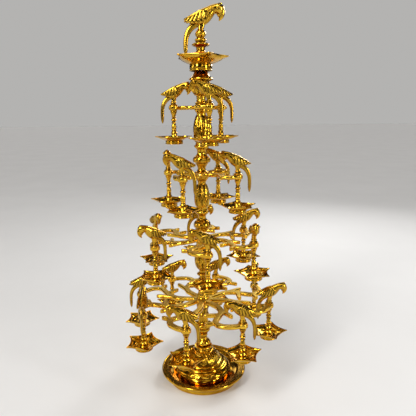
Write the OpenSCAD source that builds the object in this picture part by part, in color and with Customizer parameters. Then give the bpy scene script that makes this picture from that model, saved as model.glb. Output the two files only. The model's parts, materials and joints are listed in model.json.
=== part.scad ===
// Standing brass oil lamp: a turned column on a plate carries four tiers of branches.
// Every branch ends in a boss with a five-wick bowl hanging below it and a parrot above it.
// Origin: centre of the foot, on the surface the lamp stands on. +Z is up, and +X is to the right.

/* [Base] */
// Radius of the plate at its rim
plate_r = 91; // [85:1:97]
// Outer radius of the foot ring that the lamp stands on
foot_r = 76; // [72:1:80]
// Radius of the pedestal's widest flange
pedestal_r = 59; // [54:1:62]

/* [Lamps] */
// Distance from a bowl's centre to the tip of a spout
spout_r = 39.5; // [37:0.5:41]
// Distance from a bowl's centre to its rim halfway between two spouts
waist_r = 27; // [25:0.5:29]
// Height of a bowl's rim above its foot
rim_h = 15.5; // [14:0.5:17]
// Drop from the underside of a branch to the foot of its bowl
drop = 66.5; // [66:0.5:67]
// Thickness of a bowl's wall
bowl_wall = 1.8; // [1.4:0.1:2.2]

/* [Branches] */
// Thickness of the flat branches
branch_t = 8; // [6:0.5:9]
// Width of an arm at its root
arm_w = 12.5; // [10:0.5:14]
// Width of the leaf stubs on the longest arms
stub_w = 11; // [8:0.5:12]
// Radius of the boss that holds a lamp
boss_r = 9.5; // [9:0.5:10.5]

/* [Birds] */
// Size of a parrot on a lamp, where 1 is 60 mm from beak to wing tip
bird_size = 1; // [0.9:0.05:1.05]
// Size of the parrot on the finial
top_bird_size = 1.27; // [1.2:0.01:1.27]

/* [Fits] */
// Radial clearance of everything that turns
play = 0.05; // [0.03:0.01:0.08]
// Radius of the tie rod that clamps the column
rod_r = 4; // [3.5:0.25:4]

/* [Hidden] */
$fn = 48;
TIERS = [1, 2, 3, 4];
LAMP_COUNT = [3, 4, 6, 8];
// Of each tier: distance of its lamps from the column, its first lamp's bearing from the front, and the
// height of the seat that its branch turns on
REACH = [56.5, 78, 111.5, 139.5];
PHASE = [15, -27, 5, -13];
BRANCH_Z = [571, 440, 307, 172];
// Bearing of one spout of each lamp, and the bearing in which each parrot looks, from +X
SPOUT_TURN = [[48, 44, 28], [8, 21, 54, 28], [30, 27, 49, 10, 23, 62], [1, 17, 70, 35, 50, 20, 68, 1]];
BIRD_TURN = [
    [180, 180, 0],
    [180, 180, 180, 270],
    [180, 270, 0, 0, 290, 215],
    [180, 180, 0, 78, 0, 0, 0, 90]
];
// Free height round a branch between the sections that hold it, half above it and half below
axial_play = 0.1;
// Hairline that keeps the riveted stem and its bowl two solids
joint_gap = 0.05;
spigot_r = 6;
bore_r = rod_r + 0.3;
hub_r = 18;
stud_r = 2.5;
stud_l = 9;
foot_ring_r = 17.6;
foot_ring_h = 8;
floor_z = 5.5;
well_r = 16;
perch_h = 9;
// How far a parrot's legs run into its perch
leg_sink = 0.5;
// How far past a spout's tip its two sides would meet
tip_blunt = 1.5;
// Distance from the column's axis at which an arm leaves the hub
arm_root = 12;
// How far the arms are set in from the faces of the hub and the bosses
arm_inset = 0.3;
plate_floor = 9;
pedestal_top = 66;
washer_z = 672.5;
washer_t = 3.5;
finial_z = washer_z + washer_t;
finial_top = 716;
top_bowl_z = 643;
ROUND = 8;

function lamp_names(kind) = [for (t = TIERS) for (k = [1 : LAMP_COUNT[t - 1]]) str(kind, "_", t, "_", k)];

// ---- Turned shapes: each step is [end radius, end height, bulge], and bulge bows the line out or in ----

function step_points(s, r, z) =
    let (n = s[2] == undef || s[2] == 0 ? 1 : ROUND)
    [for (k = [1 : n]) [
        r + (s[0] - r) * k / n + (n == 1 ? 0 : s[2] * sin(180 * k / n)),
        z + (s[1] - z) * k / n
    ]];

function turned(steps, r, z, i = 0) =
    i == len(steps) ? [] :
    let (s = steps[i])
    concat(step_points(s, r, z), turned(steps, s[0], s[1], i + 1));

module lathe(start, steps, inner = 0) {
    outline = concat([start], turned(steps, start[0], start[1]));
    top = outline[len(outline) - 1][1];
    rotate_extrude() polygon(concat([[inner, start[1]]], outline, [[inner, top]]));
}

// A section of the column: a bored turning with a spigot on top that the branch above turns on
module section(start, steps, spigot = true) {
    top = steps[len(steps) - 1][1];
    spigot_top = top + branch_t + axial_play;
    lathe(start, steps, bore_r);
    if (spigot)
        rotate_extrude()
            polygon([[bore_r, top], [spigot_r, top], [spigot_r, spigot_top], [bore_r, spigot_top]]);
}

// Height at which a tier's upper section starts
function over(t) = BRANCH_Z[t - 1] + branch_t + axial_play;
function bearing(t, k) = PHASE[t - 1] + 360 / LAMP_COUNT[t - 1] * (k - 1);

// Puts a lamp or a parrot on a boss's axis, turned to its own bearing from +X
module at_boss(t, k, z, turn) {
    rotate(bearing(t, k)) translate([0, -REACH[t - 1], z]) rotate(turn - bearing(t, k)) children();
}

// ---- Base ----

module base_plate() color("goldenrod") {
    rotate_extrude($fn = 96) polygon([
        [bore_r, plate_floor - 3.5], [foot_r - 8, plate_floor - 3.5], [foot_r - 5, 0], [foot_r, 0],
        [foot_r, 7], [foot_r + 4, 12], [plate_r - 1, 17], [plate_r, 19.5], [plate_r - 0.5, 21.5],
        [plate_r - 2.5, 22.5], [plate_r - 13, 20], [plate_r - 14, 18], [plate_r - 17, 17.5],
        [plate_r - 19, 14.5], [pedestal_r + 1, plate_floor + 0.5], [pedestal_r - 10, plate_floor],
        [bore_r, plate_floor]
    ]);
}

module pedestal() color("gold") {
    difference() {
        lathe([pedestal_r - 13, plate_floor], [
            [pedestal_r - 12, 16, -1.5], [pedestal_r - 1, 19], [pedestal_r, 20.5], [pedestal_r - 1, 22],
            [pedestal_r - 8, 30.5, 1.8], [pedestal_r - 12, 31.5], [pedestal_r - 12, 34, 0.6],
            [pedestal_r - 20, 35], [pedestal_r - 20, 38.5, 0.8], [35.5, 39.5], [18, 62, 4.5],
            [15, 65, -0.5], [18.8, 69], [18.8, 71.5, 0.4], [16, 71.8]
        ], bore_r);
        translate([0, 0, pedestal_top]) cylinder(h = 7, r1 = 12.6, r2 = 15.6);
        rotate_extrude() polygon([
            [0, plate_floor - 1], [pedestal_r - 18, plate_floor - 1], [pedestal_r - 17, 17],
            [pedestal_r - 8, 23], [pedestal_r - 14, 29], [pedestal_r - 25, 34], [24, 49], [10, 57], [0, 57]
        ]);
    }
}

// ---- Column ----

module lower_column() color("gold") section([12.4, pedestal_top], [
    [11.5, 70.5], [9.5, 87, 5.4], [8.7, 94, -0.4], [9.5, 99], [14, 106, -0.8], [14.5, 111.5, 0.6],
    [17.5, 115.5], [18.8, 119.4], [17.5, 122.5, 0.5], [11.5, 127, -0.6], [10.8, 142, -1], [10.8, 148, 2],
    [14, 164, -1.6], [12.6, 167], [13.4, 170, 0.5], [13.4, BRANCH_Z[3]]
]);

module middle_column() color("gold") section([13.4, over(4)], [
    [13.4, 183], [9, 199, -1.4], [9, 204, 1.8], [6.7, 227, 3.4], [7, 231], [7, 238, 5], [7.6, 244, -0.4],
    [16.2, 260, 1.2], [9, 292, 2], [8.6, 297, -0.5], [13.4, 302, -0.6], [13.4, BRANCH_Z[2]]
]);

module carved_column() color("gold") section([13.4, over(3)], [
    [12.6, 317.5], [6.8, 321.8, -0.8], [8, 326, -0.3], [13.4, 332.2, 0.5], [13.6, 334.5],
    [17.2, 338, 0.5], [17.2, 344.5, 0.9], [12.3, 350.2, 0.8], [7.8, 355.7, -0.9], [8.5, 361, -0.4],
    [13, 366], [13, 370, 0.9], [11.2, 378.7, -1], [16, 392, 0.8], [8.7, 424.5, 1.8], [8.3, 429, -0.3],
    [12.5, 435.5, -0.8], [13.6, 437.5], [13.6, BRANCH_Z[1]]
]);

module leaf_column() color("gold") section([13.6, over(2)], [
    [13.2, 450, 0.4], [9, 453, -0.8], [7.8, 457.3, -0.3], [12.4, 466, -0.6], [12.8, 467.5],
    [17.2, 470, 0.4], [17.2, 477.5, 0.7], [12, 482, 0.8], [8.9, 489, -0.9], [9.5, 494, -0.2],
    [14, 498.5], [14, 502, 0.6], [11.5, 508, -0.8], [16.4, 524, 0.7], [9.2, 560.9, 2.4],
    [9.6, 565, -0.4], [12.6, 569], [12.6, BRANCH_Z[0]]
]);

module upper_column() color("gold") section([12.6, over(1)], [
    [12.6, 580.5], [11, 581.8], [12, 584.5, 0.4], [9, 588, -0.6], [8.9, 593, -0.2], [9.7, 596.7],
    [18.4, 610, 2.2], [16.7, 623.9, 0.7], [22.6, 626.8], [23.4, 628.3], [22.6, 629.8], [14, 639, -1.2],
    [12.4, top_bowl_z, -0.2]
], false);

module tie_rod() color("silver") translate([0, 0, 1.5]) cylinder(h = 692.5, r = rod_r - 0.1);

module rod_nut_and_washer() color("silver") {
    translate([0, 0, 4.7]) difference() {
        cylinder(h = 0.8, r = 9);
        translate([0, 0, -1]) cylinder(h = 3, r = rod_r + 0.1);
    }
    translate([0, 0, 1.2]) difference() {
        cylinder(h = 3.5, r = 7.5, $fn = 6);
        translate([0, 0, -1]) cylinder(h = 6, r = rod_r - 0.1);
    }
}

// ---- Bowls ----

// The space inside a five-spouted outline. Its concave sides are arcs that would cross past the blunt tips.
module star_cone(tip, waist, r_low, z_low, z_top, inset) {
    mid = (tip + tip_blunt) * cos(36);
    half = (tip + tip_blunt) * sin(36);
    side_c = (mid * mid + half * half - waist * waist) / (2 * (mid - waist));
    h = z_top - z_low;
    difference() {
        translate([0, 0, z_low]) cylinder(h = h, r1 = r_low, r2 = tip - inset * 1.6);
        for (i = [0 : 4]) rotate(36 + 72 * i)
            translate([side_c, 0, z_low - 1]) cylinder(h = h + 2, r = side_c - waist + inset, $fn = 96);
    }
}

// A bowl on its drum-shaped foot. Its centre hole takes the stem.
module bowl(tip, waist, foot, foot_h, rim, well, floor_h, hole) {
    difference() {
        union() {
            cylinder(h = foot_h + 0.5, r = foot);
            star_cone(tip, waist, foot, foot_h, rim, 0);
        }
        star_cone(tip, waist, foot - 0.4, foot_h + bowl_wall, rim + 0.01, bowl_wall);
        translate([0, 0, floor_h]) cylinder(h = rim, r = well);
        translate([0, 0, -1]) cylinder(h = floor_h, r = well - 0.4);
        translate([0, 0, -1]) cylinder(h = rim, r = hole);
    }
}

module lamp_bowl() bowl(spout_r, waist_r, foot_ring_r, foot_ring_h, rim_h, well_r, floor_z, 3.1);

// The turned stem: a bell on the bowl's floor, a baluster, a ball and a cup under the boss
module lamp_stem() {
    difference() {
        union() {
            lathe([8.6, floor_z + joint_gap], [
                [8.2, 13, 0.3], [5.6, 21, -0.9], [4.6, 27, -0.3], [3.6, 40, 0.9], [3.6, 43.5, 1.6],
                [3.4, 45], [3.4, 51, 2.2], [3.7, 53], [6.2, 61.5, -0.4], [6.2, 64, 0.3], [7.5, drop]
            ]);
            translate([0, 0, floor_z - 3]) cylinder(h = 4, r = 3);
            translate([0, 0, floor_z - 3.5]) cylinder(h = 2.5 - joint_gap, r = 5.5);
        }
        translate([0, 0, drop - stud_l]) cylinder(h = stud_l + 1, r = stud_r);
    }
}

module lamp(t, k) color("gold") at_boss(t, k, BRANCH_Z[t - 1] - drop, SPOUT_TURN[t - 1][k - 1]) {
    lamp_bowl();
    lamp_stem();
}

module top_bowl() color("gold") translate([0, 0, top_bowl_z]) {
    rise = washer_z - top_bowl_z;
    difference() {
        bowl(54, 38, 21.6, 13.7, 27.7, 19.5, 11, bore_r);
        translate([0, 0, -1]) cylinder(h = 3, r = 12.4);
    }
    lathe([13, 8], [[11.5, rise - 3, -1.5], [13, rise - 1.5], [13, rise]], bore_r);
    rotate_extrude() polygon([[bore_r, 0], [12.4, 0], [12.4, 8], [bore_r, 8]]);
}

// ---- Finial ----

module finial_washer() color("red") translate([0, 0, washer_z]) difference() {
    cylinder(h = washer_t, r1 = 15.2, r2 = 13.5);
    translate([0, 0, -1]) cylinder(h = washer_t + 2, r = bore_r);
}

module finial() color("gold") difference() {
    lathe([9.5, finial_z], [
        [9.2, 678.5], [8.1, 681, -0.3], [8.7, 686], [15.8, 689.6, -0.4], [16.8, 690.8], [15.8, 692],
        [10, 696, -0.8], [10.4, 697.5], [10.4, 701, 0.7], [6.8, 705.7, -0.6], [7, 707],
        [6.2, finial_top, 4.4]
    ]);
    translate([0, 0, finial_z - 1]) cylinder(h = 19, r = rod_r - 0.1);
    translate([0, 0, finial_top - stud_l]) cylinder(h = stud_l + 1, r = 3 + play);
}

// ---- Parrots: the bird looks along +X, and its legs stand at height 0 over the origin ----

module bird(tail_l) {
    // Body from the wing tips to the breast
    translate([-24, 0, 13.4]) rotate([0, 88, 0])
        lathe([0.8, 0], [[5.4, 11, 0.5], [9, 24, 0.6], [9, 31, 0.4], [6.5, 37.5, 1.2], [2, 40, 0.5]]);
    // Legs
    cylinder(h = 8.5, r1 = 4.2, r2 = 5.4);
    // Shoulders, neck, head, beak and crest
    translate([1, 0, 14]) rotate([0, 56, 0]) cylinder(h = 22, r1 = 8.6, r2 = 6.6);
    translate([19, 0, 26.3]) sphere(r = 6.8);
    translate([26, 0, 26.8]) sphere(r = 8.2);
    translate([29, 0, 25.5]) rotate([0, 192, 0]) cylinder(h = 15, r1 = 4, r2 = 0.8);
    translate([28, 0, 30.5]) rotate([0, 22, 0]) cylinder(h = 6, r1 = 3, r2 = 1);
    // Tail, which leaves the rump and curves down behind the perch
    translate([-4.5, 0, 8]) rotate([0, 90, 0]) cylinder(h = 8, r = 2.7);
    translate([-4, 0, -10]) rotate([90, 0, 0]) rotate([0, 0, 90])
        rotate_extrude(angle = 90) translate([18, 0]) circle(r = 2.9, $fn = 24);
    translate([-22, 0, -9.5 - tail_l]) cylinder(h = tail_l, r1 = 1.5, r2 = 2.7);
}

// A parrot on its perch, with the stud that goes down through the boss into the lamp's stem
module parrot(t, k) color("gold") at_boss(t, k, over(t), BIRD_TURN[t - 1][k - 1]) {
    lathe([8, 0], [[8, 2, 0.4], [5, 4.5, -0.5], [5, 7.5, 1.2], [4.4, perch_h]]);
    translate([0, 0, -stud_l - branch_t - axial_play])
        cylinder(h = stud_l + branch_t + axial_play + 1, r = stud_r);
    translate([0, 0, perch_h - leg_sink]) scale(bird_size) bird(34);
}

module top_parrot() color("gold") translate([0, 0, finial_top + axial_play / 2]) {
    translate([0, 0, -stud_l]) cylinder(h = stud_l + 3, r = 3);
    lathe([6.2, 0], [[6.2, 1.2, 0.3], [5, 2]]);
    translate([0, 0, leg_sink]) scale(top_bird_size) bird(28);
}

// ---- Branches ----

// Centre line of an arm, for a reach of 140: straight out, then round in an S to come back to the boss
ARM = [[3, 33], [4, 55], [-4, 74], [-20, 88], [-35, 101], [-39, 113], [-33, 126], [-18, 136], [0, 140]];
// Blunt leaf stubs on an arm: root and tip
STUBS = [[[1, 66], [3, 103]], [[-14, 82], [-41, 67]], [[-34, 106], [-59, 100]]];

function spline(p0, p1, p2, p3, t) =
    0.5 * (2 * p1 + (p2 - p0) * t + (2 * p0 - 5 * p1 + 4 * p2 - p3) * t * t
        + (3 * p1 - p0 - 3 * p2 + p3) * t * t * t);
function curve(p, n) =
    let (last = len(p) - 1)
    concat(
        [for (i = [0 : last - 1]) for (j = [0 : n - 1])
            spline(p[max(i - 1, 0)], p[i], p[i + 1], p[min(i + 2, last)], j / n)],
        [p[last]]
    );
function heading(p, i) =
    let (a = p[max(i - 1, 0)], b = p[min(i + 1, len(p) - 1)], d = b - a)
    d / norm(d);
function side(p, i, w) = let (h = heading(p, i)) p[i] + w * [-h[1], h[0]];

// A flat strip along a line of points, tapering from its root to its tip
module strip(p, w_root, w_tip) {
    last = len(p) - 1;
    function w(i) = (w_root + (w_tip - w_root) * i / last) / 2;
    translate([0, 0, arm_inset]) linear_extrude(branch_t - 2 * arm_inset) polygon(concat(
        [for (i = [0 : last]) side(p, i, w(i))],
        [for (i = [last : -1 : 0]) side(p, i, -w(i))]
    ));
}

// A leaf stub on an arm, with a round end
module stub(root, tip, w) {
    d = (tip - root) / norm(tip - root);
    n = [-d[1], d[0]];
    translate([0, 0, arm_inset]) linear_extrude(branch_t - 2 * arm_inset) polygon(concat(
        [root + n * w / 2],
        [for (a = [90 : -30 : -90]) tip - d * w / 2 + w / 2 * (d * cos(a) + n * sin(a))],
        [root - n * w / 2]
    ));
}

// The outward direction of an arm is -Y before it is turned to its bearing
module arm(reach) {
    f = reach / 140;
    rotate(180) mirror([1, 0, 0]) {
        line = concat([[0, arm_root]], [for (p = ARM) if (p[1] * f > arm_root + 4) p * f]);
        strip(curve(line, 3), arm_w, arm_w - 1);
        for (s = STUBS)
            if (reach > 100 || s[0][1] != 82) stub(s[0] * f, s[1] * f, stub_w * (1 + f) / 2);
    }
}

module branch(t) color("goldenrod") translate([0, 0, BRANCH_Z[t - 1] + axial_play / 2]) {
    reach = REACH[t - 1];
    difference() {
        union() {
            cylinder(h = branch_t, r = hub_r);
            for (k = [1 : LAMP_COUNT[t - 1]]) rotate(bearing(t, k)) {
                arm(reach);
                translate([0, -reach, 0]) cylinder(h = branch_t, r = boss_r);
            }
        }
        translate([0, 0, -1]) cylinder(h = branch_t + 2, r = spigot_r + play);
        for (k = [1 : LAMP_COUNT[t - 1]]) rotate(bearing(t, k))
            translate([0, -reach, -1]) cylinder(h = branch_t + 2, r = stud_r + play);
    }
}

base_plate();
pedestal();
lower_column();
middle_column();
carved_column();
leaf_column();
upper_column();
tie_rod();
rod_nut_and_washer();
top_bowl();
finial_washer();
finial();
top_parrot();
for (t = TIERS) branch(t);
for (t = TIERS) for (k = [1 : LAMP_COUNT[t - 1]]) {
    lamp(t, k);
    parrot(t, k);
}
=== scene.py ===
"""Looks of a standing brass oil lamp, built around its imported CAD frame.

Lengths are in millimetres and angles in degrees, unless a name or a comment says otherwise. The column is
turned and carved, the branches are sand cast, and every hanging lamp has a five-wick bowl, a turned stem
and a parrot.
"""
import json
import math

import bmesh
import bpy
import numpy as np
from mathutils import Matrix, Vector, noise


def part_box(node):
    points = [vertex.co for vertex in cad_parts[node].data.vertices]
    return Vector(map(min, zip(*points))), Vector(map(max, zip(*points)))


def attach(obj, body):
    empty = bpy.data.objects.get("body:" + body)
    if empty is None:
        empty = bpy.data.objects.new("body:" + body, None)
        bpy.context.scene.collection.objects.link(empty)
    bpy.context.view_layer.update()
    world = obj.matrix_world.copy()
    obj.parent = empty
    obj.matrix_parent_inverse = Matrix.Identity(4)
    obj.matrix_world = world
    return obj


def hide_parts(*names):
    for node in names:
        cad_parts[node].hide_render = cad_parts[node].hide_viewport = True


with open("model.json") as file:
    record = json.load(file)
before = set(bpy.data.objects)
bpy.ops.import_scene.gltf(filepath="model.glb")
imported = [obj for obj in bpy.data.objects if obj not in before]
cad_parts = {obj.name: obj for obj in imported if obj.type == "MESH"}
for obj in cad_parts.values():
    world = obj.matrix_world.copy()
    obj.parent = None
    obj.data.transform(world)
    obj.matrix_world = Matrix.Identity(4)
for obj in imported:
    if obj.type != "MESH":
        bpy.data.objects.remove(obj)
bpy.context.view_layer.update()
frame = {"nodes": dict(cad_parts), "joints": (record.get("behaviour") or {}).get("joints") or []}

MM = 0.001
TAU = 2 * math.pi

# ---- Driving sizes, the same as the CAD's ----

LAMP_COUNT = [3, 4, 6, 8]
SPOUT_TURN = [[48, 44, 28], [8, 21, 54, 28], [30, 27, 49, 10, 23, 62], [1, 17, 70, 35, 50, 20, 68, 1]]
BIRD_TURN = [
    [180, 180, 0], [180, 180, 180, 270], [180, 270, 0, 0, 290, 215], [180, 180, 0, 78, 0, 0, 0, 90]
]
BRANCH_T = 8
AXIAL_PLAY = 0.1
ROD_BORE = 4.3
SPIGOT_R = 6
PLAY = 0.05
HUB_R = 18
HUB_BORE = SPIGOT_R + PLAY
BOSS_R = 9.5
STUD_R = 2.5
STUD_L = 9
PERCH_H = 9
LEG_SINK = 0.5
DROP = 66.5
PLATE_R = 91
PEDESTAL_R = 59
FINIAL_TOP = 716
TOP_STUD_R = 3
FINIAL_BORE = TOP_STUD_R + PLAY
TOP_BIRD_SIZE = 1.27

joints = {j["name"]: j for j in frame["joints"]}


def joint_place(name):
    """A joint's point, in millimetres."""
    return Vector(joints[name]["pos_m"]) / MM


def seat_z(tier):
    """Height of the seat on the column that a branch turns on."""
    return joint_place(f"tier_{tier}_turn").z - (BRANCH_T + AXIAL_PLAY) / 2


# ---- Small helpers ----


def smooth(x):
    """0 below 0, 1 above 1, and an even curve between."""
    x = np.clip(x, 0, 1)
    return x * x * (3 - 2 * x)


def bump(x):
    """1 at 0, falling away evenly on both sides."""
    return np.exp(-x * x)


def flow(points, count):
    """count points along a smooth curve through the given ones."""
    p = np.array(points, float)
    p = np.vstack([2 * p[0] - p[1], p, 2 * p[-1] - p[-2]])
    at = np.linspace(0, len(points) - 1, count)
    i = np.minimum(at.astype(int), len(points) - 2)
    t = (at - i)[:, None]
    a, b, c, d = p[i], p[i + 1], p[i + 2], p[i + 3]
    return 0.5 * (2 * b + (c - a) * t + (2 * a - 5 * b + 4 * c - d) * t**2 + (3 * b - a - 3 * c + d) * t**3)


def outline(start, steps, spacing=0.8):
    """Points along a turned outline. Each step is (end radius, end height, bulge)."""
    points = [start]
    for step in steps:
        r0, z0 = points[-1]
        r1, z1 = step[:2]
        bulge = step[2] if len(step) > 2 else 0
        n = max(2, math.ceil(math.hypot(r1 - r0, z1 - z0) / spacing))
        for k in range(1, n + 1):
            t = k / n
            points.append((r0 + (r1 - r0) * t + bulge * math.sin(math.pi * t), z0 + (z1 - z0) * t))
    return np.array(points)


class Shape:
    """Closed skins gathered into one mesh, with a value at each point for patina and painted shade."""

    def __init__(self):
        self.points = []
        self.faces = []
        self.patina_and_shade = []
        self.size = 0

    def add(self, rows, patina_and_shade=None, closed=False):
        """A skin over rings of points, with end caps, or joined end to end when closed."""
        rows = np.asarray(rows, float)
        n, m = rows.shape[:2]
        i, j = np.meshgrid(np.arange(n if closed else n - 1), np.arange(m), indexing="ij")
        up, on = (i + 1) % n, (j + 1) % m
        quads = np.stack([i * m + j, i * m + on, up * m + on, up * m + j], -1).reshape(-1, 4) + self.size
        self.faces += quads.tolist()
        if not closed:
            self.faces.append([self.size + k for k in range(m)][::-1])
            self.faces.append([self.size + (n - 1) * m + k for k in range(m)])
        self.points.append(rows.reshape(-1, 3))
        self.patina_and_shade.append(np.zeros(n * m) if patina_and_shade is None else np.asarray(patina_and_shade, float).reshape(-1))
        self.size += n * m
        return self

    def join(self, other):
        """Takes in another shape's skins."""
        self.faces += [[i + self.size for i in face] for face in other.faces]
        self.points += other.points
        self.patina_and_shade += other.patina_and_shade
        self.size += other.size

    def move(self, offset):
        for skin in self.points:
            skin += offset

    def mesh(self, name, sharp=38):
        """A smooth mesh in metres, with hard edges where faces meet at more than the given angle."""
        made = bpy.data.meshes.new(name)
        made.from_pydata((np.vstack(self.points) * MM).tolist(), [], self.faces)
        patina_and_shade = made.attributes.new("patina_and_shade", "FLOAT", "POINT")
        patina_and_shade.data.foreach_set("value", np.concatenate(self.patina_and_shade))
        outward(made)
        made.shade_smooth()
        made.set_sharp_from_angle(angle=math.radians(sharp))
        return made


def outward(mesh):
    """Turns every skin's faces to look outward."""
    work = bmesh.new()
    work.from_mesh(mesh)
    bmesh.ops.recalc_face_normals(work, faces=work.faces)
    work.to_mesh(mesh)
    work.free()


def place(name, mesh, body, material, node=None, at=(0, 0, 0), turn=0, size=1):
    """Puts a mesh in the scene on a body, in place of a CAD node. Its turn and size go into the mesh."""
    if turn or size != 1:
        mesh = mesh.copy()
        mesh.transform(Matrix.Rotation(math.radians(turn), 4, "Z") @ Matrix.Scale(size, 4))
    piece = bpy.data.objects.new(name, mesh)
    bpy.context.scene.collection.objects.link(piece)
    piece.location = Vector(at) * MM
    if not mesh.materials:
        mesh.materials.append(material)
    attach(piece, body)
    if node:
        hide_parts(node)
    return piece


# ---- Materials ----

# The dark of the hollows: the brass's patina there, and painted shade.
PATINA_AND_SHADE = (0.020, 0.009, 0.002)
CAST_PITS = (0.20, 0.10, 0.008)
CAST_GRAINS = (0.98, 0.70, 0.13)


def new_material(name):
    made = bpy.data.materials.new(name)
    made.use_nodes = True
    tree = made.node_tree
    return made, tree, tree.nodes["Principled BSDF"]


def link(tree, start, end):
    tree.links.new(start, end)


def noise_node(tree, scale, detail=4):
    """Noise fixed to the object, in cycles per metre."""
    coords = tree.nodes.new("ShaderNodeTexCoord")
    node = tree.nodes.new("ShaderNodeTexNoise")
    node.inputs["Scale"].default_value = scale
    node.inputs["Detail"].default_value = detail
    link(tree, coords.outputs["Object"], node.inputs["Vector"])
    return node.outputs["Fac"]


def remap(tree, value, low, high, to_low=0.0, to_high=1.0):
    node = tree.nodes.new("ShaderNodeMapRange")
    for socket, number in zip(("From Min", "From Max", "To Min", "To Max"), (low, high, to_low, to_high)):
        node.inputs[socket].default_value = number
    link(tree, value, node.inputs["Value"])
    return node.outputs["Result"]


def mix_colour(tree, share, first, second):
    """first and second are colours or sockets."""
    node = tree.nodes.new("ShaderNodeMix")
    node.data_type = "RGBA"
    link(tree, share, node.inputs["Factor"])
    colour_in = [s for s in node.inputs if s.type == "RGBA"]
    for socket, colour in zip(colour_in, (first, second)):
        if isinstance(colour, tuple):
            socket.default_value = (*colour, 1)
        else:
            link(tree, colour, socket)
    return [s for s in node.outputs if s.type == "RGBA"][0]


def attribute(tree, name):
    node = tree.nodes.new("ShaderNodeAttribute")
    node.attribute_name = name
    return node.outputs["Fac"]


def maths(tree, kind, a, b):
    node = tree.nodes.new("ShaderNodeMath")
    node.operation = kind
    for socket, value in zip(node.inputs, (a, b)):
        if isinstance(value, (int, float)):
            socket.default_value = value
        else:
            link(tree, value, socket)
    return node.outputs["Value"]


def set_bump(tree, shader, height, strength, distance_mm):
    node = tree.nodes.new("ShaderNodeBump")
    node.inputs["Strength"].default_value = strength
    node.inputs["Distance"].default_value = distance_mm * MM
    link(tree, height, node.inputs["Height"])
    link(tree, node.outputs["Normal"], shader.inputs["Normal"])


def brass_material(name, bright, warm, rough, cast_share=0.0):
    """Polished brass, darkened in its hollows by patina and painted shade. cast_share brings in the grain
    of sand casting.
    """
    made, tree, shader = new_material(name)
    shader.inputs["Metallic"].default_value = 1
    tone = mix_colour(tree, remap(tree, noise_node(tree, 35), 0.35, 0.68), bright, warm)
    specks = noise_node(tree, 900, 3)
    hollow = attribute(tree, "patina_and_shade")
    # Patina and painted shade in the hollows.
    stain_and_shade = maths(tree, "MULTIPLY", hollow, remap(tree, noise_node(tree, 260), 0.3, 0.6, 0.7, 1))
    tone = mix_colour(tree, stain_and_shade, tone, PATINA_AND_SHADE)
    gloss = remap(tree, specks, 0.3, 0.7, rough * 0.75, rough * 1.3)
    gloss = maths(tree, "ADD", gloss, maths(tree, "MULTIPLY", stain_and_shade, 0.3))
    if cast_share:
        cast = attribute(tree, "cast")
        pits = remap(tree, noise_node(tree, 1300, 2), 0.36, 0.62)
        dull = mix_colour(tree, pits, CAST_PITS, CAST_GRAINS)
        tone = mix_colour(tree, maths(tree, "MULTIPLY", cast, cast_share), tone, dull)
        gloss = maths(tree, "ADD", gloss, maths(tree, "MULTIPLY", cast, 0.26))
        relief = maths(tree, "MULTIPLY", maths(tree, "ADD", cast, 0.06), pits)
        set_bump(tree, shader, relief, 0.6, 0.25)
    else:
        set_bump(tree, shader, specks, 0.12, 0.05)
    link(tree, tone, shader.inputs["Base Color"])
    link(tree, gloss, shader.inputs["Roughness"])
    return made


def plain_material(name, dark, light, metallic, rough, scale, specular=0.5):
    """A mottled finish between two tones."""
    made, tree, shader = new_material(name)
    shader.inputs["Specular IOR Level"].default_value = specular
    shader.inputs["Metallic"].default_value = metallic
    mottle = noise_node(tree, scale)
    link(tree, mix_colour(tree, remap(tree, mottle, 0.35, 0.65), dark, light), shader.inputs["Base Color"])
    link(tree, remap(tree, mottle, 0.3, 0.7, rough * 0.8, rough * 1.2), shader.inputs["Roughness"])
    set_bump(tree, shader, mottle, 0.2, 0.1)
    return made


BRASS = brass_material("polished_brass", (0.76, 0.455, 0.035), (0.50, 0.24, 0.012), 0.09)
BIRD_BRASS = brass_material("chased_brass", (0.74, 0.445, 0.04), (0.38, 0.18, 0.01), 0.12)
CAST = brass_material("cast_brass", (0.90, 0.56, 0.05), (0.60, 0.31, 0.02), 0.12, cast_share=0.7)
RED = plain_material("red_washer", (0.55, 0.004, 0.003), (0.8, 0.008, 0.006), 0, 0.5, 400, specular=0.2)
STEEL = plain_material("steel", (0.42, 0.42, 0.43), (0.62, 0.62, 0.62), 1, 0.34, 700)

# ---- Carving: each relief gives the height, and the patina and painted shade, of a turned surface's points ----


def petals(low, high, count, depth, turn=0.0):
    """Pointed leaves that grow from low to high, with a rib, veins and a dark groove round each."""

    def relief(theta, r, z):
        t = (z - low) / (high - low)
        on = smooth(t / 0.04) * (t < 1)
        t = np.clip(t, 0, 1)
        across = np.abs((theta * count / TAU + turn) % 1 - 0.5) * 2
        width = 0.97 * np.sqrt(1 - t**2.4)
        edge = width - across
        leaf = smooth(edge / 0.2) * on
        rib = bump(across / 0.09)
        vein = 0.5 + 0.5 * np.cos(TAU * (t * 4 - across * 1.3))
        height = leaf * (0.66 + 0.34 * rib - 0.2 * vein * (1 - rib))
        dark = on * np.clip(1 - smooth(edge / 0.2) + 0.4 * vein * leaf * (1 - rib), 0, 1)
        return depth * height, dark

    return relief


def flutes(low, high, count, depth):
    """Rounded lobes side by side."""

    def relief(theta, r, z):
        span = abs(high - low)
        on = smooth((z - low) / (0.15 * span)) * smooth((high - z) / (0.15 * span))
        lobe = np.abs(np.sin(theta * count / 2))
        return -depth * (1 - lobe) * on, on * smooth((0.4 - lobe) / 0.4) * 0.8

    return relief


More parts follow.
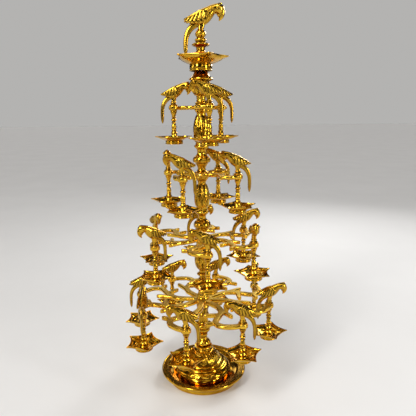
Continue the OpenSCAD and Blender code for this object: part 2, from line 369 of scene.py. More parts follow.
def knurl(low, high, count, depth, radius):
    """Crossed slanting cuts round a ring of the given radius."""

    def relief(theta, r, z):
        on = smooth((z - low) / 0.6) * smooth((high - z) / 0.6)
        pitch = TAU * radius / count
        a = np.abs(np.sin(theta * count / 2 + math.pi * z / pitch))
        b = np.abs(np.sin(theta * count / 2 - math.pi * z / pitch))
        cut = 1 - smooth(np.minimum(a, b) / 0.45)
        return -depth * cut * on, on * cut * 0.8

    return relief


def lines(heights, depth=0.35, width=0.45):
    """Turned grooves."""

    def relief(theta, r, z):
        cut = sum(bump((z - h) / width) for h in heights)
        return -depth * cut, np.clip(cut, 0, 1) * 0.6

    return relief


def circles(radii, depth):
    """Turned grooves on the plate's upper face."""

    def relief(theta, r, z):
        cut = sum(bump((r - q) / 0.5) for q in radii) * (z > 8)
        return -depth * cut, np.clip(cut, 0, 1) * 0.6

    return relief


def panels(low, high, count, share, depth):
    """Patches of chased rosettes with plain metal between them."""

    def relief(theta, r, z):
        on = smooth((z - low) / 0.8) * smooth((high - z) / 0.8)
        across = np.abs((theta * count / TAU) % 1 - 0.5) * 2
        patch = smooth((share - across) / 0.08) * on
        u = across * math.pi * 2.2
        v = (z - (low + high) / 2) / (high - low) * math.pi * 2.6
        rosette = np.cos(3 * np.arctan2(v, u + 1e-6)) * 0.35 + np.cos(np.hypot(u, v) * 2.3)
        cut = smooth((0.25 - rosette) / 0.5)
        frame_line = bump((across - share) / 0.035) * on
        dark = np.maximum(patch * cut * 0.85, frame_line * 0.7)
        return -depth * np.maximum(patch * cut, frame_line), dark

    return relief


def grain(inner, outer, depth):
    """Hammered grain on a ring of the plate's upper face."""

    def relief(theta, r, z):
        on = smooth((r - inner) / 1.2) * smooth((outer - r) / 1.2) * (z > 15)
        x, y = r * np.cos(theta), r * np.sin(theta)
        pits = np.sin(x * 2.1 + 2 * np.sin(y * 0.9)) * np.sin(y * 2.3 + 2 * np.sin(x * 0.8))
        leaf = np.abs(np.sin(theta * 24 + (r - inner) * 0.5))
        return depth * on * (0.6 * pits + 0.5 * leaf - 0.4), on * np.clip(0.5 - 0.7 * pits, 0, 0.9)

    return relief


def inner_corners(points):
    """How deep in a tight inner corner of the outline each point lies, for painted shade in these corners.
    """
    step = np.diff(points, axis=0)
    heading = np.unwrap(np.arctan2(step[:, 1], step[:, 0]))
    turn = np.concatenate([[0], np.maximum(-np.diff(heading), 0), [0]])
    way = np.concatenate([[0], np.cumsum(np.hypot(*step.T))])
    near = bump((way[:, None] - way[None]) / 0.9)
    return np.clip(1.3 * (near @ turn) - 0.35, 0, 0.9)


def turned(points, bore=0.0, reliefs=(), around=96, shape=None, inside=()):
    """A turned and carved solid, bored through, or hollow where inside leads back to the first point."""
    r, z = points.T
    theta = np.arange(around) * TAU / around
    grid_t, grid_r = np.meshgrid(theta, r)
    grid_z = np.repeat(z[:, None], around, 1)
    height = np.zeros_like(grid_r)
    # Painted shade in tight inner corners; the reliefs add patina and painted shade in their grooves.
    dark = np.repeat(inner_corners(points)[:, None], around, 1)
    for relief in reliefs:
        up, shade = relief(grid_t, grid_r, grid_z)
        height = np.maximum(height, np.maximum(up, 0)) + np.minimum(up, 0)
        dark = np.where(up > 0, shade, np.maximum(dark, shade))
    slope = np.gradient(points, axis=0)
    slope /= np.maximum(np.linalg.norm(slope, axis=1, keepdims=True), 1e-9)
    height[[0, -1]] = 0
    far = np.maximum(grid_r + height * slope[:, 1:2], bore + 0.2)
    tall = grid_z - height * slope[:, 0:1]
    rows = np.stack([far * np.cos(grid_t), far * np.sin(grid_t), tall], -1)
    if bore:
        inside = [(bore, z[-1]), (bore, z[0])]
    for radius, low in inside:
        ring = np.stack([radius * np.cos(theta), radius * np.sin(theta), np.full(around, low)], -1)
        rows = np.concatenate([rows, ring[None]])
        dark = np.concatenate([dark, np.zeros((1, around))])
    return (shape or Shape()).add(rows, dark, closed=bool(inside))


# ---- Base ----


def make_base_plate():
    p = PLATE_R
    points = outline((71, 0), [
        (76, 0), (76, 6.6, 0.4), (80, 12, -0.5), (p - 1.4, 16.8, -1), (p - 0.1, 19, 0.3),
        (p - 0.4, 21.4, 0.2), (p - 2.3, 22.5, 0.3), (p - 3.6, 22), (p - 12.6, 20.1), (p - 14, 19.4, 0.3),
        (p - 14.6, 17.8), (p - 16.6, 17.7, 0.3), (p - 18, 15.4), (p - 20, 14), (64, 10.6, -0.6),
        (60, 9.3), (49, 9), (ROD_BORE, 9)
    ], 0.9)
    reliefs = [grain(p - 13, p - 3.4, 0.32), circles([p - 3.3, p - 13.3, 68, 66.4], 0.25)]
    shape = turned(points, 0, reliefs, 256, inside=[(ROD_BORE, 5.5), (67.5, 5.5), (70, 1)])
    place("plate", shape.mesh("plate"), "stand", BRASS, "base_plate")


def make_pedestal():
    p = PEDESTAL_R
    points = outline((p - 13, 9), [
        (p - 12.4, 15, -1.6), (p - 8, 17.6, -0.6), (p - 1, 18.8), (p, 20.3, 0.2), (p - 0.8, 21.8, 0.1),
        (p - 1.6, 22.2), (p - 8, 30.2, 1.9), (p - 9, 30.8), (p - 11.6, 31.3), (p - 12, 34, 0.9),
        (p - 14, 34.6), (p - 19.4, 35.2), (p - 19.6, 38.4, 1.1), (p - 21, 39), (35.5, 39.6),
        (18, 62, 4.5), (15, 65, -0.5), (15.6, 66.4), (18.8, 69, -0.3), (18.8, 71.5, 0.5), (16, 71.8),
        (13, 66.4)
    ], 0.75)
    shape = turned(points, 12.5, [
        petals(61, 40.5, 12, 1.5), petals(52, 40.2, 12, 0.9, 0.5), panels(23, 29.6, 8, 0.42, 0.5)
    ], 192)
    place("pedestal_dome", shape.mesh("pedestal_dome"), "stand", BRASS, "pedestal")


# ---- Column ----

KNURL_R = 17.2


def column_section(name, start, steps, reliefs, spigot=True):
    """A turned section. Its spigot carries a branch, and the next section stands on it."""
    points = outline(start, steps, 0.7)
    if spigot:
        top = points[-1][1]
        spigot_top = top + BRANCH_T + AXIAL_PLAY
        points = np.vstack([points, [(SPIGOT_R, top), (SPIGOT_R, spigot_top)]])
    shape = turned(points, ROD_BORE, reliefs, 120)
    place(f"{name}_turning", shape.mesh(name), "stand", BRASS, name)


def make_column():
    z1, z2, z3, z4 = (seat_z(t) for t in (1, 2, 3, 4))
    over = BRANCH_T + AXIAL_PLAY
    column_section("lower_column", (12.4, 66.05), [
        (11.5, 70.5), (9.5, 87, 5.4), (8.7, 88.4), (8.5, 94, -0.3), (9.8, 95.5, 0.3), (9.4, 98.5),
        (14, 106, -0.8), (14.5, 111.5, 0.6), (17.2, 115.2), (18.7, 118.2, 0.2), (18.7, 120.4, 0.2),
        (17.2, 123, 0.4), (11.5, 127, -0.6), (10.8, 142, -1), (12.6, 143.6, 0.3), (10.8, 148, 0.6),
        (14, 163.6, -1.6), (12.6, 167), (13.4, 169.4, 0.5), (13.4, z4)
    ], [flutes(99.5, 111, 16, 0.9), flutes(127.5, 141.5, 12, 0.8), petals(163, 148.5, 10, 0.9),
        lines([91, 117, 121.6])])
    column_section("middle_column", (13.4, z4 + over), [
        (13.4, 182.6, 0.2), (12.6, 184), (9, 199, -1.4), (10.6, 200.6, 0.3), (9, 204, 0.8),
        (6.7, 227, 3.4), (7, 231), (11.6, 233), (11.6, 236, 0.5), (7.6, 238.4), (7.6, 244, -0.4),
        (15.6, 260, 1.2), (9, 292, 2), (8.6, 297, -0.5), (13.4, 302, -0.6), (13.4, z3)
    ], [petals(184.5, 198.5, 10, 1.1), petals(205, 226, 8, 0.8), petals(245, 275, 8, 1.5),
        petals(262, 291, 8, 1.3, 0.5), flutes(297.5, 302.5, 18, 0.5), lines([180.8, 305])])
    column_section("carved_column", (13.4, z3 + over), [
        (12.6, 317.5), (6.8, 321.8, -0.8), (8, 326, -0.3), (13.4, 332.2, 0.5), (13.6, 334.5),
        (17, 337.6, 0.4), (17, 344.5, 0.8), (12.3, 350.2, 0.8), (7.8, 355.7, -0.9), (8.5, 361, -0.4),
        (13, 365.6), (13, 370, 0.9), (11.2, 378.7, -1), (14.8, 392, 0.8), (8.7, 424.5, 1.8),
        (8.3, 429, -0.3), (12.5, 435.5, -0.8), (13.6, 437.5), (13.6, z2)
    ], [knurl(337.8, 344.4, 30, 0.6, KNURL_R), flutes(326.5, 332, 16, 0.5), petals(379.5, 408, 8, 1.6),
        petals(396, 424, 8, 1.3, 0.5), lines([335.4, 346.4, 363.5, 372])])
    column_section("leaf_column", (13.6, z2 + over), [
        (13.2, 450, 0.4), (9, 453, -0.8), (7.8, 457.3, -0.3), (12.4, 466, -0.6), (12.8, 467.5),
        (17.1, 470, 0.3), (17.1, 477.3, 0.6), (12, 482, 0.8), (8.9, 489, -0.9), (9.5, 494, -0.2),
        (14, 498.3), (14, 502, 0.6), (11.5, 508, -0.8), (15, 524, 0.7), (9.2, 560.9, 2), (9.6, 565, -0.4),
        (12.6, 569), (12.6, z1)
    ], [knurl(470.4, 477, 30, 0.6, KNURL_R), flutes(458, 465.5, 16, 0.6), petals(508.6, 540, 8, 1.4),
        petals(528, 560, 8, 1.2, 0.5), lines([468.4, 479, 496.6, 504])])
    column_section("upper_column", (12.6, z1 + over), [
        (12.6, 580.4, 0.2), (11, 581.8), (12, 584.5, 0.4), (9, 588, -0.6), (8.9, 593, -0.2), (9.7, 596.7),
        (18.2, 610, 2), (16.7, 623.9, 0.7), (22.4, 626.6), (23.3, 628.1, 0.2), (22.4, 629.8),
        (14, 639, -1.2), (12.4, 642.9, -0.2)
    ], [petals(597.5, 623, 10, 0.9), flutes(630.2, 638.6, 20, 0.6), lines([590, 595])], spigot=False)


# ---- Bowls ----


def star(theta, tip, waist):
    """Radius of a five-spouted outline, whose sides are arcs that would meet just past the blunt tips."""
    reach = tip + 1.5
    mid, half = reach * math.cos(math.pi / 5), reach * math.sin(math.pi / 5)
    centre = (mid**2 + half**2 - waist**2) / (2 * (mid - waist))
    off = math.pi / 5 - np.abs((theta + math.pi / 5) % (TAU / 5) - math.pi / 5)
    short = np.maximum((centre - waist) ** 2 - (centre * np.sin(off)) ** 2, 0)
    return np.minimum(centre * np.cos(off) - np.sqrt(short), tip)


def bowl_shape(tip, waist, foot, foot_h, rim, well, floor, hole, hub=()):
    """A cast bowl on a drum foot. Its wall flares from the round foot to the spouted rim."""
    theta = np.arange(160) * TAU / 160
    outer = star(theta, tip, waist)
    inner = star(theta, tip - 3.4, waist - 1.8)
    straight = (outer - waist) / (tip - waist)
    rows = []
    dark = []

    def ring(radius, z, stain_and_shade=0.0):
        radius = np.broadcast_to(radius, theta.shape)
        height = np.broadcast_to(z, theta.shape)
        rows.append(np.column_stack([radius * np.cos(theta), radius * np.sin(theta), height]))
        dark.append(np.broadcast_to(stain_and_shade, theta.shape))

    def rings(*steps):
        for step in steps:
            ring(*step)

    def wall(base, edge, low, high, shares, stain_and_shade):
        for s in shares:
            share = 1 - (1 - s) ** 2.5
            lip = smooth((s - 0.62) / 0.38) - share
            ring(base + (edge - base) * (share + 0.3 * straight * lip), low + (high - low) * s, stain_and_shade)

    # A ring's third number darkens it: patina and painted shade in the drum's grooves, on the inner wall
    # and round the inner floor.
    rings(
        (hole, floor - 1), (well - 0.4, floor - 1), (well - 0.4, 0.2), (well, 0), (foot - 0.4, 0),
        (foot, 0.4), (foot + 0.25, 1.2), (foot, 2), (foot - 0.3, 2.5, 0.5), (foot - 0.1, 3),
        (foot - 0.1, foot_h - 2), (foot - 0.4, foot_h - 1.6, 0.6), (foot, foot_h - 0.9),
        (foot, foot_h - 0.3)
    )
    wall(foot, outer, foot_h, rim - 1.1, np.linspace(0.02, 1, 16), 0.0)
    rings((outer, rim - 0.5), (outer - 0.3, rim), ((outer + inner) / 2, rim), (inner + 0.3, rim - 0.1))
    wall(well - 0.6, inner, floor + 0.7, rim - 0.6, np.linspace(1, 0.02, 16), 0.12)
    rings((well - 1.2, floor + 0.25, 0.35), (well - 2.5, floor, 0.15), *hub)
    ring(hole, rows[-1][0][2])
    return Shape().add(rows, np.array(dark), closed=True)


def lamp_stem_mesh():
    shape = turned(outline((8.6, 5.55), [
        (8.4, 7.2, 0.3), (7.6, 8.2), (8.0, 13, 0.3), (5.6, 21, -0.9), (6.2, 22, 0.2), (5.4, 23.4),
        (4.6, 27, -0.3), (5, 28, 0.2), (4.4, 29.4), (3.6, 39.6, 0.9), (3.6, 40.6), (3.7, 43.4, 1.4),
        (3.4, 44.6), (3.4, 50.6, 2.2), (3.4, 51.6), (4.6, 52.8, 0.2), (3.8, 54), (6.2, 61.5, -0.4),
        (6.2, 64, 0.3), (7.5, DROP)
    ], 0.6), 0.0, [lines([10.4, 25.4, 36.6, 62.4], 0.2, 0.3)], 40)
    return shape.mesh("lamp_stem")


def hanging_lamps():
    """The tier and number of each hanging lamp."""
    for tier, count in enumerate(LAMP_COUNT, 1):
        for number in range(1, count + 1):
            yield tier, number


def lamp_place(tier, number):
    """The point on a hanging lamp's axis at the height of its branch's seat."""
    at = joint_place(f"lamp_{tier}_{number}_turn")
    return Vector((at.x, at.y, seat_z(tier)))


def make_lamps():
    bowl = bowl_shape(tip=39.5, waist=27, foot=17.6, foot_h=8, rim=15.5, well=16, floor=5.5, hole=3.1)
    bowl_mesh = bowl.mesh("lamp_bowl", 50)
    stem_mesh = lamp_stem_mesh()
    for tier, number in hanging_lamps():
        node = f"lamp_{tier}_{number}"
        body = f"lamp_set_{tier}_{number}"
        at = lamp_place(tier, number) - Vector((0, 0, DROP))
        turn = SPOUT_TURN[tier - 1][number - 1]
        place(f"{node}_bowl", bowl_mesh, body, BRASS, node, at, turn)
        place(f"{node}_stem", stem_mesh, body, BRASS, None, at, turn)


def make_top_bowl(bottom, washer_low):
    """The bowl reaches up its middle to the washer."""
    rise = washer_low - bottom
    hub = [(13, 11.1), (11.5, 16), (11.8, rise - 4), (13, rise - 1.6), (13, rise)]
    bowl = bowl_shape(
        tip=54, waist=40.5, foot=21.6, foot_h=13.7, rim=27.7, well=19.5, floor=11, hole=ROD_BORE, hub=hub
    )
    mesh = bowl.mesh("top_bowl", 50)
    place("top_bowl_cast", mesh, "stand", BRASS, "top_bowl", (0, 0, bottom))


def make_finial(washer_high):
    shape = turned(outline((9.5, washer_high), [
        (9.4, 678), (9, 679), (8.1, 681, -0.3), (8.7, 686), (15.2, 688.4, -0.4), (16.6, 689.6, 0.2),
        (16.6, 691.2, 0.2), (14.8, 692.8, 0.3), (9.6, 695.6, -0.8), (10.2, 697), (10.2, 701, 0.9),
        (7.6, 703.4, -0.4), (8, 704.2), (8.2, FINIAL_TOP - 0.9, 2.2), (7.2, FINIAL_TOP)
    ], 0.6), FINIAL_BORE, [lines([678.6, 683.4], 0.25)], 96)
    place("finial_turning", shape.mesh("finial"), "stand", BRASS, "finial")


def make_top():
    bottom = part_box("top_bowl")[0].z / MM
    washer_low, washer_high = (corner.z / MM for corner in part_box("finial_washer"))
    make_top_bowl(bottom, washer_low)
    washer = turned(outline((14.8, washer_low), [
        (15.2, washer_low + 0.5), (13.9, washer_high - 0.4), (13.3, washer_high)
    ], 0.5), ROD_BORE, (), 72)
    place("red_washer", washer.mesh("red_washer"), "stand", RED, "finial_washer")
    make_finial(washer_high)


# ---- Parrots: in the bird's own millimetres, looking along +X, with its legs standing at height 0 ----


def loft(shape, controls, count, around, relief=None, side=0.0):
    """Adds a skin over ovals along a line beside the bird's middle plane.

    A control is (x, z, half height, half width). side is how far the line lies from the middle.
    """
    line = flow(controls, count)
    line[:, 2:] = np.maximum(line[:, 2:], 0.12)
    along = np.gradient(line[:, :2], axis=0)
    along /= np.linalg.norm(along, axis=1, keepdims=True)
    phi = np.arange(around) * TAU / around
    u = np.repeat(np.linspace(0, 1, count)[:, None], around, 1)
    v = np.repeat(phi[None], count, 0)
    lift, dark = relief(u, v) if relief else (np.zeros_like(u), np.zeros_like(u))
    tall = (line[:, 2:3] + lift) * np.cos(v)
    wide = (line[:, 3:4] + lift) * np.sin(v)
    x = line[:, 0:1] - along[:, 1:2] * tall
    z = line[:, 1:2] + along[:, 0:1] * tall
    shape.add(np.stack([x, wide + side, z], -1), dark)


def scales(rows, columns, depth, start, stop):
    """Small overlapping feathers, between two shares of the bird's length."""

    def relief(u, v):
        on = smooth((u - start) / 0.05) * smooth((stop - u) / 0.05)
        row = u * rows
        shift = np.floor(row) % 2 * 0.5
        across = np.abs((v / TAU * columns + shift) % 1 - 0.5) * 2
        step = row % 1
        edge = step - 0.75 * np.sqrt(np.clip(1 - across**2, 0, 1))
        return depth * on * bump(edge / 0.3), on * 0.5 * bump((edge - 0.25) / 0.2)

    return relief


def wing_feathers(u, v):
    """Long feathers that slant back to a scalloped lower edge, and small ones on the shoulder."""
    rise = -np.cos(v)
    slant = u * 8 + 0.8 * rise
    cut = bump(((slant % 1) - 0.5) / 0.19)
    quill = bump((slant + 0.5) % 1 / 0.1 - 5)
    shoulder = smooth((0.22 - u) / 0.06)
    row = np.abs(np.sin(u * 40) * np.sin(v * 5))
    below = smooth((-rise - 0.55) / 0.3)
    long_lift = 0.2 + 0.3 * quill - 0.85 * cut + below * (1 - 1.5 * cut)
    # The cuts are darkened with patina and painted shade, and the wing's lower side with painted shade.
    long_dark = np.clip(0.1 + 1.5 * cut + 0.4 * below, 0, 1)
    lift = (1 - shoulder) * long_lift + shoulder * 0.4 * (row - 0.5)
    dark = (1 - shoulder) * long_dark + shoulder * smooth((0.55 - row) / 0.3)
    off_back = smooth((0.75 - rise) / 0.4) * smooth(u / 0.05) * smooth((1 - u) / 0.05)
    return lift * off_back, dark * off_back


def tail_feathers(u, v):
    """Quills that run the length of the tail, with barbs between them."""
    quill = np.abs(np.sin(v * 3))
    barb = 0.5 + 0.5 * np.cos(u * TAU * 22 + quill * 4)
    lift = 0.3 * quill - 0.18 * barb
    return lift * smooth(u / 0.1) * smooth((1 - u) / 0.03), np.clip(0.9 - 1.3 * quill, 0, 0.8) + 0.12 * barb


def ball(shape, at, radius, flat):
    """Adds a flattened stud on the bird's side."""
    rise = np.linspace(-0.499, 0.499, 11) * math.pi
    phi = np.arange(16) * TAU / 16
    shape.add([np.column_stack([
        at[0] + radius * math.cos(a) * np.cos(phi), np.full(16, at[1] + radius * flat * math.sin(a)),
        at[2] + radius * math.cos(a) * np.sin(phi)
    ]) for a in rise])


def bird_shape(tail_end):
    """The parrot. tail_end is the height of the tail's tip."""
    body = [
        (-22.6, 13.4, 1, 1), (-17, 14.2, 4.4, 3.2), (-8.5, 15, 8.4, 5.8), (-0.5, 16.4, 11.2, 7.2),
        (6, 19.6, 10.8, 7.6), (12, 24, 9, 7.2), (17.2, 27.8, 7, 6.2), (22.4, 29.2, 7, 6.2),
        (27.2, 28.7, 8, 7.2), (31.9, 27.4, 6, 5.2), (34.8, 26.4, 1.2, 1.2)
    ]
    wing = [
        (11.2, 23.6, 1.2, 1), (8, 22, 6.2, 2.3), (1.5, 19.2, 7.9, 2.9), (-6, 16.9, 6.8, 2.8),
        (-13.5, 15.2, 4.7, 2.3), (-20, 14.2, 2.4, 1.5), (-24.4, 13.8, 0.4, 0.5)
    ]
    leg = [(1.6, 11, 5.6, 3), (1.2, 6.5, 4.9, 2.6), (0.6, 2, 4.3, 2.4), (0.3, -0.3, 4.4, 2.5)]
    upper_beak = [
        (29.6, 28.4, 5.6, 4.8), (31.2, 24.4, 5.2, 4.3), (31, 19.8, 4, 3.4), (29.4, 15.8, 2.5, 2.2),
        (27.3, 12.6, 0.6, 0.6)
    ]
    lower_beak = [
        (27, 24.6, 3.4, 3.6), (26.9, 21.4, 2.8, 2.8), (27.2, 18.8, 1.6, 1.7), (27.4, 17.2, 0.4, 0.4)
    ]
    crest = [(22, 33.4, 2.4, 2.4), (27, 35, 2.4, 2.1), (30, 36.1, 1.5, 1.4), (32, 36.9, 0.5, 0.5)]
    tail = [
        (1, 8.6, 3.4, 3.2), (-6.5, 7.6, 4.3, 3.2), (-13.4, 3.6, 4.6, 3), (-18.6, -3.2, 4.2, 2.8),
        (-21.6, -12, 3.6, 2.6), (-22.4, -22, 3.3, 2.5), (-22.4, tail_end + 7, 2.8, 2.2),
        (-22.2, tail_end, 0.7, 0.8)
    ]
    shape = Shape()
    loft(shape, body, 96, 48, scales(26, 14, 0.16, 0.3, 0.66))
    for side in (-1, 1):
        loft(shape, wing, 96, 48, wing_feathers, side * 6.9)
        loft(shape, leg, 14, 20, None, side * 2)
        ball(shape, (27.8, side * 6.2, 30.4), 2.2, 0.8)
        ball(shape, (27.8, side * 7.4, 30.4), 1.2, 0.9)
    loft(shape, upper_beak, 40, 28)
    loft(shape, lower_beak, 16, 18)
    loft(shape, crest, 18, 16)
    loft(shape, tail, 72, 28, tail_feathers)
    return shape


def small_parrot_mesh():
    """A hanging lamp's parrot, on a turned perch whose stud runs down through the branch."""
    shape = bird_shape(tail_end=-42.5)
    shape.move((0, 0, PERCH_H - LEG_SINK))
    stud = -STUD_L - BRANCH_T - AXIAL_PLAY
    turned(outline((STUD_R, stud), [
        (STUD_R, 0), (7.8, 0.02), (8, 0.6), (8, 2, 0.3), (5.4, 4.2, -0.5), (5, 4.8), (5, 7.5, 1.2),
        (5, 8.2), (4.2, PERCH_H)
    ], 0.6), 0.0, (), 40, shape)
    return shape.mesh("parrot", 45)


def make_top_parrot():
    """The large parrot. It is drawn small and then enlarged, so its stud's own sizes are divided first."""
    shape = bird_shape(tail_end=-36.5)
    shape.move((0, 0, LEG_SINK / TOP_BIRD_SIZE))
    turned(outline((TOP_STUD_R / TOP_BIRD_SIZE, -STUD_L / TOP_BIRD_SIZE), [
        (TOP_STUD_R / TOP_BIRD_SIZE, 0), (4.7, 0.02), (4.9, 0.9, 0.2), (4.1, 2)
    ], 0.5), 0.0, (), 40, shape)
    at = (0, 0, FINIAL_TOP + AXIAL_PLAY / 2)
    place("top_parrot_cast", shape.mesh("top_parrot", 45), "top_bird", BIRD_BRASS,
          "top_parrot", at, 0, TOP_BIRD_SIZE)


def make_parrots():
    mesh = small_parrot_mesh()
    for tier, number in hanging_lamps():
        node = f"parrot_{tier}_{number}"
        body = f"lamp_set_{tier}_{number}"
        at = lamp_place(tier, number) + Vector((0, 0, BRANCH_T + AXIAL_PLAY))
        turn = BIRD_TURN[tier - 1][number - 1]
        place(f"{node}_cast", mesh, body, BIRD_BRASS, node, at, turn)
    make_top_parrot()


# ---- Branches: an arm's line for a full reach, out along +Y and round in an S to the boss ----

FULL_REACH = 140
SHORT_REACH = 100
ARM = [
    (0, 12), (3, 33), (4, 55), (-4, 74), (-20, 88), (-35, 101), (-39, 113), (-33, 126), (-18, 136),
    (-4, FULL_REACH)
]
STUBS = [((1, 66), (3, 103)), ((-14, 82), (-41, 67)), ((-34, 106), (-59, 100))]
ARM_W = 13.1
STUB_W = 11.6
BOSS_BORE = STUD_R + 0.2
VOXEL = 0.9
SAND_DEPTH = 0.2
SAND_SCALE = 700  # cycles per metre


def bar(shape, line, widths, thick, low):
    """Adds a flat bar along a line of plan points, with the rounded edges of a squarish oval."""
    along = np.gradient(line, axis=0)
    along /= np.linalg.norm(along, axis=1, keepdims=True)
    phi = np.arange(24) * TAU / 24
    across = np.sign(np.cos(phi)) * np.abs(np.cos(phi)) ** 0.62
    tall = np.sign(np.sin(phi)) * np.abs(np.sin(phi)) ** 0.62
    rows = []
    for point, ahead, width in zip(line, along, widths):
        off = across[:, None] * np.array([-ahead[1], ahead[0]]) * width / 2
        rows.append(np.column_stack([point + off, low + thick / 2 * (1 + tall)]))
    shape.add(rows)


def arm_shape(reach):
    """One arm and its stubs, drawn along +Y. A short arm has no middle stub."""
    shape = Shape()
    scale = reach / FULL_REACH
    start = ARM[0]
    points = [start] + [(x * scale, y * scale) for x, y in ARM[1:] if y * scale > start[1] + 4]
    bar(shape, flow(points, 60), np.linspace(ARM_W, ARM_W - 1, 60), BRANCH_T - 0.1, 0.05)
    for root, tip in STUBS if reach > SHORT_REACH else STUBS[::2]:
        root, tip = np.array(root), np.array(tip)
        line = flow([root * scale, (root + tip) / 2 * scale, tip * scale], 20)
        widths = STUB_W * (1 + scale) / 2 * np.sqrt(np.clip(1 - np.linspace(0, 0.99, 20) ** 6, 0, 1))
        widths *= 1 - 0.2 * np.sin(np.linspace(0, math.pi, 20)) ** 2
        bar(shape, line, widths, BRANCH_T - 0.3, 0.15)
    return shape


def disc_outline(radius):
    """The eased side of a flat disc as thick as a branch."""
    return outline((radius - 0.6, 0), [
        (radius, 0.7, 0.1), (radius, BRANCH_T - 0.8, 0.2), (radius - 0.7, BRANCH_T)
    ])


def branch_shape(reach, count, first):
    """A hub with count arms, each ending in a boss. first is the first arm's bearing."""
    shape = Shape()
    for k in range(count):
        bearing = math.radians(first) + TAU / count * k
        across, ahead = math.cos(bearing), math.sin(bearing)
        mirrored_turn = np.array([[across, ahead], [ahead, -across]])
        arm = arm_shape(reach)
        for skin in arm.points:
            skin[:, :2] = skin[:, :2] @ mirrored_turn
        shape.join(arm)
        boss = turned(disc_outline(BOSS_R), BOSS_BORE, (), 48)
        boss.move((reach * ahead, -reach * across, 0))
        shape.join(boss)
    return turned(disc_outline(HUB_R), HUB_BORE, (), 72, shape)


def fused(mesh, name):
    """One skin over all of a mesh's overlapping skins."""
    rough = bpy.data.objects.new(name, mesh)
    bpy.context.scene.collection.objects.link(rough)
    melt = rough.modifiers.new("melt", "REMESH")
    melt.mode = "VOXEL"
    melt.voxel_size = VOXEL * MM
    ease = rough.modifiers.new("ease", "SMOOTH")
    ease.factor = 0.5
    ease.iterations = 3
    view = bpy.context.evaluated_depsgraph_get()
    made = bpy.data.meshes.new_from_object(rough.evaluated_get(view))
    bpy.data.objects.remove(rough)
    made.name = name
    return made


def sand_cast(mesh):
    """Roughens the flat faces as a sand mould does, and marks them for the material."""
    count = len(mesh.vertices)
    points = np.zeros(count * 3)
    normals = np.zeros(count * 3)
    mesh.vertices.foreach_get("co", points)
    mesh.vertices.foreach_get("normal", normals)
    points, normals = points.reshape(-1, 3), normals.reshape(-1, 3)
    flat = smooth((np.abs(normals[:, 2]) - 0.8) / 0.15)
    rough = np.array([noise.noise(Vector(p) * SAND_SCALE) for p in points])
    points += normals * (rough * flat * SAND_DEPTH * MM)[:, None]
    mesh.vertices.foreach_set("co", points.reshape(-1))
    hollow = np.clip(-rough * 1.2 * flat, 0, 0.5)
    mesh.attributes.new("cast", "FLOAT", "POINT").data.foreach_set("value", flat)
    mesh.attributes.new("patina_and_shade", "FLOAT", "POINT").data.foreach_set("value", hollow)
    mesh.shade_smooth()


def make_branches():
    for tier, count in enumerate(LAMP_COUNT, 1):
        tip = lamp_place(tier, 1)
        shape = branch_shape(math.hypot(tip.x, tip.y), count, math.degrees(math.atan2(tip.x, -tip.y)))
        mesh = fused(shape.mesh(f"arms_{tier}"), f"branch_{tier}_cast")
        sand_cast(mesh)
        at = (0, 0, seat_z(tier) + AXIAL_PLAY / 2)
        place(f"branch_{tier}_cast", mesh, f"tier_{tier}", CAST, f"branch_{tier}", at)


# ---- Carried-over CAD pieces ----


def finish_cad_nodes():
    """The rod and its nut keep their CAD shapes."""
    for name in ("tie_rod", "rod_nut_and_washer"):
        node = frame["nodes"][name]
        node.data.materials.clear()
        node.data.materials.append(STEEL)


# ---- Stage, light and camera: lengths here are in metres ----

CAMERA_AT = (0, -0.8599, 0.5564)
CAMERA_TILT = 11.875
CAMERA_ROLL = -0.525


def make_stage():
    """A plain pale floor."""
    made, tree, shader = new_material("pale_floor")
    mottle = remap(tree, noise_node(tree, 3), 0.3, 0.7)
    tone = mix_colour(tree, mottle, (0.735, 0.73, 0.72), (0.765, 0.76, 0.75))
    link(tree, tone, shader.inputs["Base Color"])
    shader.inputs["Roughness"].default_value = 0.8
    shader.inputs["Specular IOR Level"].default_value = 0.1
    bpy.ops.mesh.primitive_plane_add(size=60, location=(0, 0, 0))
    floor = bpy.context.object
    floor.name = "floor"
    floor.data.materials.append(made)


def soft_light(name, at, aim, size, power, tint=(1, 1, 1)):
    data = bpy.data.lights.new(name, "AREA")
    data.shape = "RECTANGLE"
    data.size, data.size_y = size
    data.energy = power
    data.color = tint
    lamp = bpy.data.objects.new(name, data)
    bpy.context.scene.collection.objects.link(lamp)
    lamp.location = at
    lamp.rotation_euler = (Vector(aim) - Vector(at)).to_track_quat("-Z", "Y").to_euler()


def soft_sun(at, power, angle):
    """Even light from far off. It leaves the floor pale as far as the eye sees."""
    data = bpy.data.lights.new("sun", "SUN")
    data.energy = power
    data.angle = math.radians(angle)
    lamp = bpy.data.objects.new("sun", data)
    bpy.context.scene.collection.objects.link(lamp)
    lamp.rotation_euler = Vector(at).to_track_quat("Z", "Y").to_euler()


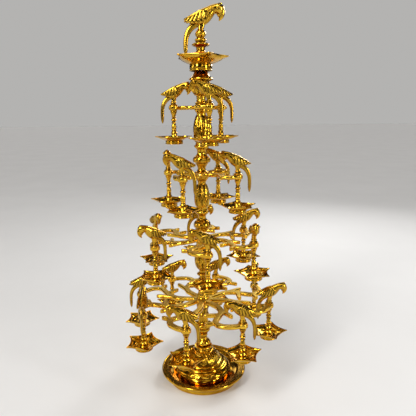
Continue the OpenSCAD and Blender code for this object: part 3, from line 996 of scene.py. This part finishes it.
def make_light():
    middle = (0, 0, 0.38)
    soft_sun((-0.6, -0.7, 1.3), 0.7, 20)
    soft_light("key", (-1.1, -1.3, 1.4), middle, (0.35, 0.9), 17, (1, 0.98, 0.95))
    soft_light("fill", (1.4, -0.9, 0.8), middle, (0.2, 0.9), 10)
    soft_light("back", (0.8, 1.4, 1.2), middle, (0.6, 0.5), 12)
    make_world()
    bpy.context.scene.view_settings.view_transform = "Standard"


def make_world():
    """A pale backdrop for the camera. The metal mirrors a dim room with broad soft patches of light."""
    world = bpy.data.worlds.new("studio")
    world.use_nodes = True
    tree = world.node_tree
    back = tree.nodes["Background"]
    coords = tree.nodes.new("ShaderNodeTexCoord")
    split = tree.nodes.new("ShaderNodeSeparateXYZ")
    link(tree, coords.outputs["Generated"], split.inputs["Vector"])
    patches = tree.nodes.new("ShaderNodeTexNoise")
    patches.inputs["Scale"].default_value = 2.3
    patches.inputs["Detail"].default_value = 0
    link(tree, coords.outputs["Generated"], patches.inputs["Vector"])
    height = remap(tree, split.outputs["Z"], 0.0, 0.9)
    room = mix_colour(tree, height, (0.012, 0.01, 0.008), (0.05, 0.05, 0.052))
    room = mix_colour(tree, remap(tree, patches.outputs["Fac"], 0.6, 0.66), room, (2, 1.95, 1.9))
    ray = tree.nodes.new("ShaderNodeLightPath")
    seen = mix_colour(tree, ray.outputs["Is Camera Ray"], room, (0.455, 0.45, 0.44))
    link(tree, seen, back.inputs["Color"])
    bpy.context.scene.world = world


def make_camera():
    data = bpy.data.cameras.new("camera")
    data.lens = 37.3
    data.sensor_width = 36
    data.shift_x = 0.0142
    camera = bpy.data.objects.new("camera", data)
    bpy.context.scene.collection.objects.link(camera)
    pitch = Matrix.Rotation(math.radians(90 - CAMERA_TILT), 4, "X")
    roll = Matrix.Rotation(math.radians(CAMERA_ROLL), 4, "Z")
    camera.matrix_world = Matrix.Translation(CAMERA_AT) @ pitch @ roll
    bpy.context.scene.camera = camera


make_camera()
make_stage()
make_light()
make_base_plate()
make_pedestal()
make_column()
make_top()
make_lamps()
make_parrots()
make_branches()
finish_cad_nodes()
